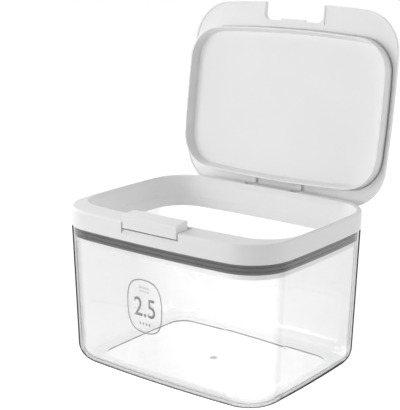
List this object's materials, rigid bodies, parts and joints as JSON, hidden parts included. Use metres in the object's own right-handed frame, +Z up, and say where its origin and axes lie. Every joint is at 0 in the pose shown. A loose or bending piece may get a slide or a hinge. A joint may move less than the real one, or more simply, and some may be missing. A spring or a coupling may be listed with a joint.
{
  "type": "laundry detergent storage box",
  "caption": "Clear storage box for laundry powder with a sealed white collar, a flip-up plug lid and a tilting push latch.",
  "frame": {"origin": "centre of the foot's flat underside, on the surface that the box stands on", "axes": "+X to the right, -Y towards the latch, +Z up; the lid's hinge axis runs along X at the back"},
  "size_m": [0.2, 0.1897, 0.2761],
  "materials": {
    "clear_plastic": "clear",
    "white_plastic": "satin",
    "grey_silicone": "matte",
    "spring_steel": "drawn wire",
    "pin_steel": "ground"
  },
  "bodies": {
    "box": {"container": "clear_plastic", "frame": "white_plastic", "gasket": "grey_silicone", "latch_spring": "spring_steel", "latch_pin_left": "pin_steel", "latch_pin_right": "pin_steel", "hinge_pin_left": "pin_steel", "hinge_pin_right": "pin_steel"},
    "lid": {"lid_cover": "white_plastic", "lid_inner_panel": "white_plastic"},
    "latch": {"latch_button": "white_plastic"}
  },
  "joints": [
    {"name": "lid_hinge", "type": "hinge", "parent": "box", "child": "lid", "pos_m": [0, 0.07745, 0.12115], "axis": [1, 0, 0], "range_deg": [0, 97.6]},
    {"name": "latch_tilt", "type": "hinge", "parent": "box", "child": "latch", "pos_m": [0, -0.07, 0.1182], "axis": [1, 0, 0], "range_deg": [0, 8], "stiffness_Nm_per_rad": 0.25, "springref_deg": -5.73, "deforming": ["latch_spring"]}
  ]
}
